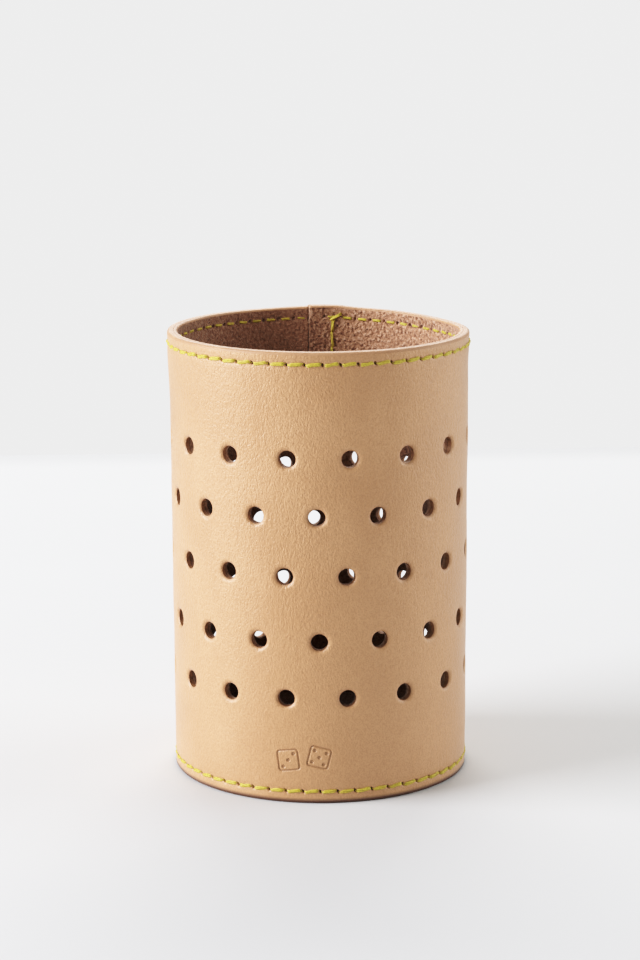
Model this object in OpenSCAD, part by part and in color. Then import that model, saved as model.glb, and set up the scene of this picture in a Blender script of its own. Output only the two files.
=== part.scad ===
// Stitched leather cup: a perforated two-layer wall, lapped at the back, on a dished base.
// +Z is up. The origin is the centre of the ring that the cup stands on.
// Angles run from the front (-Y) towards +X, so 90 is +X and 180 is the back.

/* [Cup] */
// Outer diameter of the wall
cup_d = 76; // [70:1:82]
// Height of the wall
cup_h = 114; // [108:1:124]
// Radius of the burnished edges of the wall
edge_r = 0.7; // [0.3:0.1:0.8]

/* [Leather] */
// Thickness of the grain leather outside
grain_t = 1.6; // [1.4:0.1:2.2]
// Thickness of the suede lining
lining_t = 1.0; // [0.8:0.1:1.4]
// Thickness of the moulded base
base_t = 1.8; // [1.4:0.1:2.2]
// Thickness of the suede disc on the floor
floor_t = 1.0; // [0.8:0.1:1.4]

/* [Punched holes] */
// Diameter of a punched hole
hole_d = 4.3; // [3.5:0.1:4.8]
// Holes on each side of the middle hole of a row
holes_each_side = 7; // [5:1:7]
// Distance between holes along the outer face
hole_pitch = 15.55; // [14:0.05:15.8]
// Heights of the hand-punched rows
row_heights = [27, 41.5, 58, 73, 87.5]; // [27:0.5:90]
// Turn of each row from the front, lowest row first
row_turns = [-0.8, 0.1, -1.3, -0.9, -0.2]; // [-2:0.1:1]

/* [Back lap] */
// Place of the inner end of the lap, where the lining's two ends meet
lap_inner_edge = 184.5; // [183:0.5:186]
// Place of the outer leather's cut edge, seen behind
lap_outer_edge = 170.5; // [170:0.5:172]
// Place of the stitched line through the lap
seam_line = 174.4; // [174:0.1:176]
// Thickness that a skived end keeps at its cut edge
skive_t = 0.4; // [0.3:0.1:0.5]

/* [Stitching] */
// Diameter of the waxed thread
thread_d = 0.9; // [0.8:0.1:1.2]
// Depth that the thread is flattened against the leather
thread_flat = 0.4; // [0.1:0.05:0.4]
// Diameter of a needle hole
needle_d = 0.8; // [0.6:0.1:0.8]
// Stitches around the rim
rim_stitches = 55; // [40:1:60]
// Stitches around the base
base_stitches = 54; // [40:1:60]
// Distance from the rim down to its stitches
rim_drop = 3.0; // [2.5:0.1:3.5]
// Height of the base stitches
base_stitch_z = 3.1; // [2.6:0.1:3.6]
// Stitches down the back seam
seam_stitches = 25; // [20:1:26]
// Length of one stitch of the back seam
seam_pitch = 4.0; // [3.6:0.1:4.0]

/* [Base] */
// Height of the moulded dish, from its cut edge to the floor
dish_h = 7.2; // [6.6:0.1:8.0]
// Outer radius of the dish's moulded corner
dish_bend = 2.4; // [2.3:0.1:3.0]
// Gap between the floor disc and the lining
floor_gap = 0.2; // [0.1:0.1:0.5]

/* [Pressed mark] */
// Place of the mark around the cup
mark_turn = -5.8; // [-10:0.1:10]
// Height of the middle of the mark
mark_z = 11.5; // [11:0.1:14]
// Side of one pressed die outline
mark_side = 5.6; // [4.5:0.1:6]
// Depth of the pressing
mark_depth = 0.2; // [0.1:0.05:0.3]
// Width of a pressed line
mark_line = 0.4; // [0.3:0.1:0.6]

/* [Hidden] */
$fn = 180;
eps = 0.01;

// Faces of the wall, from the outside in
r_out = cup_d / 2;
r_mid = r_out - grain_t;
r_in = r_mid - lining_t;
r_dish = r_in - base_t;

// Middle of the wall, where the outer and the inner thread lock into each other
r_lock = (r_out + r_in) / 2;
r_lock_base = (r_out + r_dish) / 2;

// Punched pattern: neighbouring rows are half a pitch apart
hole_step = hole_pitch / r_out * 180 / PI;
r_hole_start = r_in - 2;

// Back lap: width of the slit between the two skived ends, and its number of straight steps
slit_w = 0.08;
slit_steps = 10;
slit_over = 0.5;

// Stitch rows
rim_stitch_z = cup_h - rim_drop;
seam_length = seam_stitches * seam_pitch;
seam_z = (base_stitch_z + rim_stitch_z - seam_length) / 2;
thread_offset = thread_d / 2 - thread_flat;
leg_root = 0.1;
rim_stitch_turn = 1.2;
base_stitch_turn = 0.5;

// Tie-off at the top of the seam: where it starts and ends on the lining
tie_gap = 0.15;
tie_start_z = seam_z + seam_length + thread_d / 2 + tie_gap;
tie_end_z = rim_stitch_z - thread_d - tie_gap;
tie_lean = 4;

// Pressed mark: two die outlines side by side, the second one tipped
mark_tilt = [8, -14];
mark_shift = 3.9;
mark_lift = [-0.4, 0.5];
pip_d = 0.9;
pip_span = 0.27;

// Colours
grain_colour = [0.86, 0.70, 0.53];
suede_colour = [0.62, 0.44, 0.34];
base_colour = [0.80, 0.62, 0.45];
thread_colour = [0.80, 0.78, 0.22];

// Polar position, with the angle taken from the front towards +X
function polar(r, turn) = [r * sin(turn), -r * cos(turn)];

// Puts a shape that points along +X onto the wall at a turn and a height
module at_wall(turn, z) {
  rotate([0, 0, turn - 90]) translate([0, 0, z]) children();
}

// Radial bar from r_from to r_to, at a turn and a height
module radial_bar(d, r_from, r_to, turn, z) {
  at_wall(turn, z)
    translate([r_from, 0, 0])
      rotate([0, 90, 0]) cylinder(d = d, h = r_to - r_from);
}

// What is cut from a square corner to leave an arc of radius r; the corner points to +X +Y
module corner_cut(r) {
  difference() {
    square(r + eps);
    circle(r);
  }
}

// Section of a wall layer, rounded on the outside edges
module outer_layer_section() {
  difference() {
    translate([r_mid, 0]) square([grain_t, cup_h]);
    translate([r_out - edge_r, cup_h - edge_r]) corner_cut(edge_r);
    translate([r_out - edge_r, edge_r]) mirror([0, 1]) corner_cut(edge_r);
  }
}

// Section of the lining, rounded where it meets the mouth
module lining_section() {
  difference() {
    translate([r_in, 0]) square([lining_t, cup_h]);
    translate([r_in + edge_r, cup_h - edge_r]) mirror([1, 0]) corner_cut(edge_r);
  }
}

// All the punched holes, as bars through both layers
module punched_holes() {
  for (row = [0 : len(row_heights) - 1])
    for (k = [-holes_each_side : holes_each_side])
      radial_bar(
        hole_d, r_hole_start, r_out + 1,
        row_turns[row] + (k - (row % 2 == 0 ? 0.5 : 0)) * hole_step,
        row_heights[row]
      );
}

// Needle bars around a row, between two radii
module needle_row(count, first_turn, z, r_from, r_to) {
  for (k = [0 : count - 1])
    radial_bar(needle_d, r_from, r_to, first_turn + k * 360 / count, z);
}

// Needle bars down the seam, between two radii
module needle_line(r_from, r_to) {
  for (k = [0 : seam_stitches])
    radial_bar(needle_d, r_from, r_to, seam_line, seam_z + k * seam_pitch);
}

// Slit between the skived ends of the strip: straight at both cut edges, slanting between them
module lap_slit() {
  r_low = r_mid + skive_t;
  r_high = r_out - skive_t;
  turn_step = (lap_outer_edge - lap_inner_edge) / slit_steps;
  r_step = (r_high - r_low) / slit_steps;
  lower = [for (k = [0 : slit_steps])
    polar(r_low + k * r_step - slit_w / 2, lap_inner_edge + k * turn_step)];
  upper = [for (k = [slit_steps : -1 : 0])
    polar(r_low + k * r_step + slit_w / 2, lap_inner_edge + k * turn_step)];
  translate([0, 0, -1]) linear_extrude(cup_h + 2) {
    polygon(concat(lower, upper));
    rotate([0, 0, lap_inner_edge - 90])
      translate([r_mid - slit_over, -slit_w / 2])
        square([skive_t + slit_over + slit_w / 2, slit_w]);
    rotate([0, 0, lap_outer_edge - 90])
      translate([r_high - slit_w / 2, -slit_w / 2])
        square([skive_t + slit_over + slit_w / 2, slit_w]);
  }
}

// Straight slit where the two ends of the lining meet
module lining_slit() {
  rotate([0, 0, lap_inner_edge - 90])
    translate([r_in - slit_over, -slit_w / 2, -1])
      cube([lining_t + 2 * slit_over, slit_w, cup_h + 2]);
}

// Outline of one die with its pips, centred
module die_outline(pips) {
  difference() {
    square(mark_side, center = true);
    square(mark_side - 2 * mark_line, center = true);
  }
  for (p = pips) translate(p * mark_side * pip_span) circle(d = pip_d, $fn = 24);
}

// Two dice, pressed into the front of the cup as shallow lines
module pressed_mark() {
  intersection() {
    rotate([0, 0, mark_turn]) translate([0, -r_mid, mark_z]) rotate([90, 0, 0])
      linear_extrude(grain_t + 1) {
        translate([-mark_shift, mark_lift[0]]) rotate(mark_tilt[0])
          die_outline([[-1, -1], [0, 0], [1, 1]]);
        translate([mark_shift, mark_lift[1]]) rotate(mark_tilt[1])
          die_outline([[-1, -1], [-1, 1], [0, 0], [1, -1], [1, 1]]);
      }
    difference() {
      cylinder(r = r_out + 1, h = cup_h);
      translate([0, 0, -1]) cylinder(r = r_out - mark_depth, h = cup_h + 2);
    }
  }
}

// Grain leather wall: a strip bent round, with its skived ends lapped at the back
module outer_sleeve() {
  color(grain_colour) difference() {
    rotate_extrude() outer_layer_section();
    lap_slit();
    punched_holes();
    needle_row(rim_stitches, rim_stitch_turn, rim_stitch_z, r_mid - 1, r_out + 1);
    needle_row(base_stitches, base_stitch_turn, base_stitch_z, r_mid - 1, r_out + 1);
    needle_line(r_mid - 1, r_out + 1);
    pressed_mark();
  }
}

// Suede lining of the wall, whose ends meet at the inner end of the lap
module lining_sleeve() {
  color(suede_colour) difference() {
    rotate_extrude() lining_section();
    lining_slit();
    punched_holes();
    needle_row(rim_stitches, rim_stitch_turn, rim_stitch_z, r_in - 1, r_mid + 1);
    needle_row(base_stitches, base_stitch_turn, base_stitch_z, r_in - 1, r_mid + 1);
    needle_line(r_in - 1, r_mid + 1);
  }
}

// Base moulded as a dish that stands on its turned-down flange
module base_dish() {
  color(base_colour) difference() {
    rotate_extrude() difference() {
      square([r_in, dish_h]);
      translate([r_in - dish_bend, dish_h - dish_bend]) corner_cut(dish_bend);
      translate([-eps, -eps]) square([r_dish - (dish_bend - base_t) + eps, dish_h - base_t + eps]);
      translate([0, -eps]) square([r_dish, dish_h - dish_bend + eps]);
      translate([r_in - dish_bend, dish_h - dish_bend]) circle(dish_bend - base_t);
    }
    needle_row(base_stitches, base_stitch_turn, base_stitch_z, r_dish - 1, r_in + 1);
  }
}

// Suede disc glued to the floor
module floor_lining() {
  color(suede_colour)
    translate([0, 0, dish_h]) cylinder(r = r_in - floor_gap, h = floor_t);
}

// Thread lying round a face of the wall, flattened against it; side is 1 outside and -1 inside
module ring_thread(r_face, side, z) {
  rotate_extrude() difference() {
    translate([r_face + side * thread_offset, z]) circle(d = thread_d, $fn = 32);
    translate([r_face - (side > 0 ? thread_d : 0), z - thread_d]) square([thread_d, 2 * thread_d]);
  }
}

// Thread round a row of stitches on the outside, with a leg down each needle hole
module outer_row_thread(count, first_turn, z, r_locked) {
  ring_thread(r_out, 1, z);
  needle_row(count, first_turn, z, r_locked, r_out + leg_root);
}

// Thread round a row of stitches on the inside, with a leg up each needle hole
module inner_row_thread(count, first_turn, z, r_face, r_locked) {
  ring_thread(r_face, -1, z);
  needle_row(count, first_turn, z, r_face - leg_root, r_locked);
}

// Outside thread of the rim stitches
module rim_outer_thread() {
  color(thread_colour)
    outer_row_thread(rim_stitches, rim_stitch_turn, rim_stitch_z, r_lock);
}

// Inside thread of the rim stitches
module rim_inner_thread() {
  color(thread_colour)
    inner_row_thread(rim_stitches, rim_stitch_turn, rim_stitch_z, r_in, r_lock);
}

// Outside thread of the base stitches
module base_outer_thread() {
  color(thread_colour)
    outer_row_thread(base_stitches, base_stitch_turn, base_stitch_z, r_lock_base);
}

// Inside thread of the base stitches, in the recess under the cup
module base_inner_thread() {
  color(thread_colour)
    inner_row_thread(base_stitches, base_stitch_turn, base_stitch_z, r_dish, r_lock_base);
}

// Straight thread over the seam line, as long as the seam and half a thread more at each end
module seam_bar(r_centre) {
  translate([for (v = polar(r_centre, seam_line)) v])
    translate([0, 0, seam_z - thread_d / 2]) cylinder(d = thread_d, h = seam_length + thread_d);
}

// Outside thread of the back seam
module seam_outer_thread() {
  color(thread_colour) {
    difference() {
      seam_bar(r_out + thread_offset);
      cylinder(r = r_out, h = cup_h);
    }
    needle_line(r_lock, r_out + leg_root);
  }
}

// Inside thread of the back seam
module seam_inner_thread() {
  color(thread_colour) {
    intersection() {
      seam_bar(r_in - thread_offset);
      cylinder(r = r_in, h = cup_h);
    }
    needle_line(r_in - leg_root, r_lock);
  }
}

// Slanting back stitch that ties the top of the seam to the rim stitches
module seam_tie_off() {
  start = polar(r_in - thread_offset, seam_line);
  end = polar(r_in - thread_offset, seam_line - tie_lean);
  run = norm(end - start);
  rise = tie_end_z - tie_start_z;
  color(thread_colour) intersection() {
    translate([start[0], start[1], tie_start_z])
      rotate([0, 0, atan2(end[1] - start[1], end[0] - start[0])])
        rotate([0, atan2(run, rise), 0])
          cylinder(d = thread_d, h = norm([run, rise]));
    cylinder(r = r_in, h = cup_h);
  }
}

outer_sleeve();
lining_sleeve();
base_dish();
floor_lining();
rim_outer_thread();
rim_inner_thread();
base_outer_thread();
base_inner_thread();
seam_outer_thread();
seam_inner_thread();
seam_tie_off();
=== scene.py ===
import math

import bmesh
import bpy
import numpy as np
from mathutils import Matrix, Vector, noise
from mathutils.geometry import delaunay_2d_cdt


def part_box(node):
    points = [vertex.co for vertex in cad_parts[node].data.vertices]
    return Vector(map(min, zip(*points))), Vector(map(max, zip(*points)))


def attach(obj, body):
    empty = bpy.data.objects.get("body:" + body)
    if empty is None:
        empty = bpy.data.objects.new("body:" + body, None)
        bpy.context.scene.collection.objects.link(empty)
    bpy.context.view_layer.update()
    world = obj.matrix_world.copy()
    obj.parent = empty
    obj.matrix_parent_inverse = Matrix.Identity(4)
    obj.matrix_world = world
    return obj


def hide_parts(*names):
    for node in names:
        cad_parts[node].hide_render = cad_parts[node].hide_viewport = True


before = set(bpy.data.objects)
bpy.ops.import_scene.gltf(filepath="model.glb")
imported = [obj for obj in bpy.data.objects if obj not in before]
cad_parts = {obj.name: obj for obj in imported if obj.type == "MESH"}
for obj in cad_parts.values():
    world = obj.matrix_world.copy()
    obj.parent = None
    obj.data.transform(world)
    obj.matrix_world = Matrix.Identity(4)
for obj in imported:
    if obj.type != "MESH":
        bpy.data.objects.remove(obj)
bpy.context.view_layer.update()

# A stitched leather cup. Shapes are worked out in millimetres, in cup coordinates: a radius, a turn in
# degrees from the front (-Y) towards +X, and a height. make_piece() turns them into metres.

MM = 0.001

# ---------------------------------------------------------------- sizes from the frame


def box_mm(node):
    low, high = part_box(node)
    return [round(v / MM, 2) for v in low], [round(v / MM, 2) for v in high]


def middle_z(node):
    low, high = box_mm(node)
    return (low[2] + high[2]) / 2


CUP_H = box_mm("outer_sleeve")[1][2]
R_OUT = box_mm("outer_sleeve")[1][0]
R_MID = box_mm("lining_sleeve")[1][0]
R_IN = box_mm("base_dish")[1][0]
DISH_TOP = box_mm("base_dish")[1][2]
FLOOR_TOP = box_mm("floor_lining")[1][2]
R_FLOOR = box_mm("floor_lining")[1][0]
RIM_ROW_Z = middle_z("rim_outer_thread")
BASE_ROW_Z = middle_z("base_outer_thread")
THREAD_R = RIM_ROW_Z - box_mm("rim_outer_thread")[0][2]
SEAM_LOW = box_mm("seam_inner_thread")[0][2] + THREAD_R
SEAM_HIGH = box_mm("seam_inner_thread")[1][2] - THREAD_R

# ---------------------------------------------------------------- patterns of the design

BASE_T = 1.8
DISH_BEND = 2.4
EDGE_R = 0.7
LINING_EDGE_R = 0.5
HOLE_R = 2.15
HOLES_EACH_SIDE = 7
HOLE_PITCH = 15.55
ROW_HEIGHTS = (27, 41.5, 58, 73, 87.5)
ROW_TURNS = (-0.8, 0.1, -1.3, -0.9, -0.2)
LAP_INNER_EDGE = 184.5
LAP_OUTER_EDGE = 170.5
SEAM_LINE = 174.4
RIM_STITCHES = 55
RIM_STITCH_TURN = 1.2
BASE_STITCHES = 54
BASE_STITCH_TURN = 0.5
SEAM_STITCHES = 25
MARK_TURN = -5.8
MARK_Z = 11.5
MARK_SIDE = 5.6
MARK_LINE = 0.4
PIP_R = 0.45
PIP_SPAN = 0.27
PUNCH_DROP_LEFT = 1.4
PUNCH_DROP_RIGHT = -0.3


def hole_centres():
    """(turn, height) of every punched hole. A row's two ends meet a little out of step at the back."""
    step = math.degrees(HOLE_PITCH / R_OUT)
    centres = []
    for row, height in enumerate(ROW_HEIGHTS):
        shift = 0.5 if row % 2 == 0 else 0
        for k in range(-HOLES_EACH_SIDE, HOLES_EACH_SIDE + 1):
            drop = (PUNCH_DROP_LEFT if k < 0 else PUNCH_DROP_RIGHT) * abs(k / HOLES_EACH_SIDE) ** 3
            centres.append((ROW_TURNS[row] + (k - shift) * step, height - drop))
    return centres


def row_needles(count, first_turn, height):
    return [(first_turn + k * 360 / count, height) for k in range(count)]


def seam_needles():
    step = (SEAM_HIGH - SEAM_LOW) / SEAM_STITCHES
    return [(SEAM_LINE, SEAM_LOW + k * step) for k in range(SEAM_STITCHES + 1)]


HOLES = hole_centres()
RIM_NEEDLES = row_needles(RIM_STITCHES, RIM_STITCH_TURN, RIM_ROW_Z)
BASE_NEEDLES = row_needles(BASE_STITCHES, BASE_STITCH_TURN, BASE_ROW_Z)
SEAM_NEEDLES = seam_needles()
NEEDLES = RIM_NEEDLES + BASE_NEEDLES + SEAM_NEEDLES

# ---------------------------------------------------------------- the hand-made shape


def smooth(t):
    t = np.clip(t, 0, 1)
    return t * t * (3 - 2 * t)


def bump_at(value, centre, width):
    return np.exp(-(((value - centre) / width) ** 2))


# How the wall strays from a cylinder, in mm, with left and right as seen from the front: the left side
# leans by LEAN_LEFT over the whole height, about a place LEAN_PIVOT of the way up it
LEAN_LEFT = 0.9
LEAN_PIVOT = 0.55
SWELL_RIGHT = 0.2
OVAL = 0.25
OVAL_PHASE = 0.7
# Flare at the rim: (mm, share of the height where it starts, share of the height that it takes)
FLARE_LEFT = (0.45, 0.82, 0.14)
FLARE_RIGHT = (0.25, 0.92, 0.06)
# Waves of the rim's top: (mm, degrees past the back, width in degrees)
RIM_WAVES = ((0.30, 0, 15), (-0.50, -60, 24))
# The rim stands up over the lap and steps down at the lining's end, in mm and degrees past the back
LAP_STEP = 0.30
LAP_STEP_START = -18
LAP_STEP_END = 4.7


def flare_of(side, share, flare):
    most, start, run = flare
    return most * side * smooth((share - start) / run)


def cup_xyz(radius, turn, height):
    """Cup coordinates to x, y, z in mm, with the small irregularities of a cup bent and cut by hand."""
    radius, turn, height = (np.asarray(v, float) for v in (radius, turn, height))
    angle = np.radians(turn)
    right = (1 + np.sin(angle)) / 2
    share = height / CUP_H
    lean = LEAN_LEFT * (share - LEAN_PIVOT) * (1 - right) + SWELL_RIGHT * right
    flare = flare_of(1 - right, share, FLARE_LEFT) + flare_of(right, share, FLARE_RIGHT)
    oval = OVAL * np.cos(2 * angle + OVAL_PHASE) * share
    past_back = turn % 360 - 180
    uneven = sum(rise * bump_at(past_back, centre, width) for rise, centre, width in RIM_WAVES)
    uneven += (LAP_STEP * smooth((LAP_STEP_END - past_back) / 0.5)
               * smooth((past_back - LAP_STEP_START) / 12))
    r = radius + lean + flare + oval
    z = height + uneven * smooth((share - 0.7) / 0.3)
    return np.stack([r * np.sin(angle), -r * np.cos(angle), z], axis=-1)


def soft_waves(x, z, reach, count, seed):
    """Sum of smooth waves over a surface, about -1 to 1, with wavelengths of about reach mm."""
    rng = np.random.default_rng(seed)
    total = np.zeros(len(x))
    for _ in range(count):
        direction, phase = rng.uniform(0, 2 * math.pi, 2)
        wave = 2 * math.pi / (reach * rng.uniform(0.6, 1.6))
        total += np.sin(wave * (x * math.cos(direction) + z * math.sin(direction)) + phase)
    return total / math.sqrt(count)


def crumbs(x, z, size, seed):
    """Matted roughness of a flesh side, about -1 to 1, with lumps of about size mm."""
    return np.array([noise.fractal((a / size, b / size, seed), 0.8, 2.2, 2) for a, b in zip(x, z)])


# ---------------------------------------------------------------- meshes


def make_piece(name, xyz, faces, kinds, materials, painted_shading=None):
    """An object from points in mm, shaded smooth, with its normals turned outwards."""
    mesh = bpy.data.meshes.new(name)
    mesh.from_pydata((np.asarray(xyz) * MM).tolist(), [], [tuple(map(int, f)) for f in faces])
    for material in materials:
        mesh.materials.append(material)
    mesh.polygons.foreach_set("material_index", np.asarray(kinds, np.int32))
    mesh.polygons.foreach_set("use_smooth", np.ones(len(faces), bool))
    # Painted shading of each point, which the materials use as painted shade and painted light
    if painted_shading is not None:
        layer = mesh.attributes.new("painted_shading", "FLOAT", "POINT")
        layer.data.foreach_set("value", np.asarray(painted_shading, np.float32))
    work = bmesh.new()
    work.from_mesh(mesh)
    bmesh.ops.delete(work, geom=[v for v in work.verts if not v.link_faces], context="VERTS")
    bmesh.ops.recalc_face_normals(work, faces=work.faces)
    work.to_mesh(mesh)
    work.free()
    mesh.update()
    piece = bpy.data.objects.new(name, mesh)
    bpy.context.scene.collection.objects.link(piece)
    return piece


def stand_for(piece, node):
    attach(piece, "root")
    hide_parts(node)


def triangulate(points, edges):
    """Corners and triangles over a flat cloud of points, with some pairs of its points kept as edges."""
    found = delaunay_2d_cdt([Vector(p) for p in points], edges, [], 0, 1e-5)
    return np.array([tuple(v) for v in found[0]]), np.array(found[2])


def closed(loop):
    """The edges round a closed loop of points."""
    return [(loop[i - 1], loop[i]) for i in range(len(loop))]


def open_edges(triangles):
    """Edges that have a triangle on one side only."""
    edges = np.concatenate([triangles[:, [0, 1]], triangles[:, [1, 2]], triangles[:, [2, 0]]])
    key = np.sort(edges, axis=1)
    _, first, count = np.unique(key, axis=0, return_index=True, return_counts=True)
    return edges[first[count == 1]]


def lattice(x0, x1, z0, z1, step):
    """Points in staggered rows, all about step apart, that fill a rectangle."""
    rows = np.arange(z0, z1, step * 0.866)
    columns = np.arange(x0, x1, step)
    return np.array([(x + step / 2 * (j % 2), z) for j, z in enumerate(rows) for x in columns])


def ring(centre, radius, count):
    angle = 2 * math.pi * np.arange(count) / count
    return np.stack([centre[0] + radius * np.cos(angle), centre[1] + radius * np.sin(angle)], axis=1)


def nearest(points, centres):
    """How far each point is from the nearest of the centres, and which one that is."""
    best = np.full(len(points), 1e9)
    which = np.zeros(len(points), int)
    for k, (x, z) in enumerate(centres):
        gap = np.hypot(points[:, 0] - x, points[:, 1] - z)
        which[gap < best] = k
        best = np.minimum(best, gap)
    return best, which


# ---------------------------------------------------------------- the strips of the wall

# Rings of points around a punched hole and a needle slit, (radius, points), and the zones that they fill
HOLE_RINGS = ((2.21, 36), (2.32, 36), (2.48, 36), (2.70, 32), (3.00, 28), (3.45, 24))
LINING_HOLE_RINGS = ((2.25, 28), (2.42, 28), (2.75, 26), (3.3, 22))
HOLE_ZONE = 3.9
NEEDLE_RINGS = ((0.14, 6), (0.32, 10), (0.52, 12), (0.78, 14))
NEEDLE_ZONE = 1.05
# Finer points within ROW_HALF of a row of stitches, and the spacing of the points
ROW_HALF = 1.6
ROW_STEP = 0.45
BACK_STEP = 4.0
EDGE_STEP = 0.6
# How near in mm counts as on an edge
ON_EDGE = 0.01
# Way from the face to the back along a cut edge: (share of the thickness, growth of a hole's radius)
CUT_SECTION = ((0.05, 0.0), (0.18, 0.02), (0.33, 0.03), (0.5, 0.03),
               (0.66, 0.02), (0.8, 0.0), (0.93, 0.02), (1.0, 0.14))
FACE, CUT_EDGE, BACK, RIM = range(4)


def rim_section(rounding, thickness):
    """Way from the face to the back over the rim: (share of the thickness, height gained)."""
    angles = [math.radians(90 * k / 5) for k in range(1, 6)]
    way = [(rounding * (1 - math.cos(a)) / thickness, rounding * math.sin(a)) for a in angles]
    return way + [(0.82, rounding), (0.94, rounding), (1.0, rounding - 0.03)]


class Strip:
    """One leather strip bent round into the wall, worked out flat: x along its face and z up it, in mm."""

    def __init__(self, face_r, back_r, turns, rounding):
        self.face_r = face_r
        self.back_r = back_r
        self.out = 1 if face_r > back_r else -1
        self.per_turn = face_r * math.radians(1)
        self.x0, self.x1 = (turn * self.per_turn for turn in turns)
        self.z0, self.z1 = rounding, CUP_H - rounding
        self.rim = rim_section(rounding, abs(face_r - back_r))
        self.holes = self.spots(HOLES, HOLE_R)
        self.needles = self.spots(NEEDLES, NEEDLE_ZONE)

    def spots(self, places, reach):
        """Flat x, z of places on the wall, once for each time that the strip passes them."""
        found = []
        for turn, height in places:
            for full in (-360, 0, 360):
                x = (turn + full) * self.per_turn
                if self.x0 - reach < x < self.x1 + reach:
                    found.append((x, height))
        return np.array(found)

    def outline(self):
        along = np.linspace(self.x0, self.x1, round((self.x1 - self.x0) / EDGE_STEP))
        up = np.linspace(self.z0, self.z1, round((self.z1 - self.z0) / EDGE_STEP / 1.5))
        return ([(x, self.z0) for x in along] + [(self.x1, z) for z in up[1:]]
                + [(x, self.z1) for x in along[-2::-1]] + [(self.x0, z) for z in up[-2:0:-1]])

    def within(self, points, margin):
        """Which points lie inside the outline by more than a margin."""
        x, z = points.T
        return ((x > self.x0 + margin) & (x < self.x1 - margin)
                & (z > self.z0 + margin) & (z < self.z1 - margin))

    def cloud(self, areas, hole_rings):
        """Points of the face: holes and needle slits with rings round them, and lattices between."""
        rows = [(self.x0, self.x1, z - ROW_HALF, z + ROW_HALF, ROW_STEP)
                for z in (RIM_ROW_Z, BASE_ROW_Z)]
        for x, _ in self.spots([(SEAM_LINE, 0)], 0):
            rows.append((x - ROW_HALF, x + ROW_HALF, self.z0, self.z1, ROW_STEP))
        rings = [ring(c, r, n) for c in self.holes for r, n in hole_rings]
        rings += [ring(c, r, n) for c in self.needles for r, n in NEEDLE_RINGS]
        filled = []
        done = []
        for area in rows + areas:
            points = lattice(*area)
            for x0, x1, z0, z1, _ in done:
                x, z = points.T
                points = points[~((x > x0) & (x < x1) & (z > z0) & (z < z1))]
            done.append(area)
            filled.append(points)
        filled = np.concatenate(filled)
        filled = filled[nearest(filled, self.holes)[0] > HOLE_ZONE]
        filled = filled[nearest(filled, self.needles)[0] > NEEDLE_ZONE]
        points = np.concatenate(rings + [filled])
        return points[self.within(points, 0.2)]

    def surface(self, points, hole_points):
        """Triangulate points with the outline and the holes' edges, leaving the holes open."""
        cloud = self.outline()
        edges = closed(range(len(cloud)))
        for centre in self.holes:
            edges += closed(range(len(cloud), len(cloud) + hole_points))
            cloud.extend(ring(centre, HOLE_R, hole_points))
        cloud.extend(points)
        corners, triangles = triangulate(cloud, edges)
        return corners, triangles[self.on_leather(corners[triangles].mean(axis=1))]

    def on_leather(self, middles):
        """Which triangles lie on the leather, by their middles, and not across a hole or a hollow."""
        return (nearest(middles, self.holes)[0] > HOLE_R * 0.995) & self.within(middles, 0)

    def cup(self, spots, radius):
        """Flat spots to cup coordinates, at one radius or a radius for each."""
        radius = np.broadcast_to(radius, len(spots))
        return np.stack([radius, spots[:, 0] / self.per_turn, spots[:, 1]], axis=1)

    def cut_rows(self, spots, front):
        """Rows of cup coordinates that take the edges of the face to the back."""
        gap, which = nearest(spots, self.holes)
        on_hole = np.abs(gap - HOLE_R) < 0.03
        top = ~on_hole & (spots[:, 1] > self.z1 - ON_EDGE)
        bottom = ~on_hole & (spots[:, 1] < self.z0 + ON_EDGE)
        up = top.astype(float) - bottom.astype(float)
        centre = self.holes[which]
        rows = []
        for (cut_share, growth), (rim_share, gain) in zip(CUT_SECTION, self.rim):
            share = np.where(up != 0, rim_share, cut_share)
            radius = front + (self.back_r - front) * share
            place = spots + np.stack([np.zeros(len(spots)), up * gain], axis=1)
            wide = (HOLE_R + growth) / HOLE_R
            bore = centre + (spots - centre) * np.stack([wide * self.face_r / radius,
                                                         np.full(len(spots), wide)], axis=1)
            place = np.where(on_hole[:, None], bore, place)
            rows.append((place, radius))
        return rows

    def back(self, border, edges):
        """Points and triangles of the strip's back, inside the border that the cut edges end on."""
        inner = lattice(self.x0, self.x1, self.z0, self.z1, BACK_STEP)
        inner = inner[self.within(inner, 1)]
        inner = inner[nearest(inner, self.holes)[0] > HOLE_R + 1]
        flat = np.concatenate([border, inner])
        _, triangles = triangulate(flat, edges.tolist())
        return inner, triangles[self.on_leather(flat[triangles].mean(axis=1))]

    def build(self, name, materials, relief, areas, hole_rings, hole_points):
        """The whole strip as one closed piece: its face with relief, its cut edges and its back."""
        corners, triangles = self.surface(self.cloud(areas, hole_rings), hole_points)
        height, painted_shading = relief(self, corners)
        front = self.face_r + self.out * height
        edges = open_edges(triangles)
        used = np.unique(edges)
        border = np.searchsorted(used, edges)
        rows = self.cut_rows(corners[used], front[used])
        inner, back = self.back(corners[used], border)
        starts = [len(corners) + k * len(used) for k in range(len(rows))]
        loops = [edges] + [border + start for start in starts]
        faces = list(triangles)
        for ahead, behind in zip(loops, loops[1:]):
            faces += [(a, b, d, c) for (a, b), (c, d) in zip(ahead, behind)]
        faces += list(back + starts[-1])
        from_rim = np.minimum(np.abs(corners[:, 1] - self.z0), np.abs(corners[:, 1] - self.z1))
        edge_kinds = [RIM if max(from_rim[a], from_rim[b]) < ON_EDGE else CUT_EDGE for a, b in edges]
        kinds = [FACE] * len(triangles) + edge_kinds * len(rows) + [BACK] * len(back)
        sheets = [(corners, front)] + rows + [(inner, self.back_r)]
        cup = np.concatenate([self.cup(spots, radius) for spots, radius in sheets])
        painted_shadings = [painted_shading, np.ones(len(rows) * len(used)), np.zeros(len(inner))]
        return make_piece(name, cup_xyz(*cup.T), faces, kinds, materials, np.concatenate(painted_shadings))


# ---------------------------------------------------------------- relief of the faces

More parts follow.
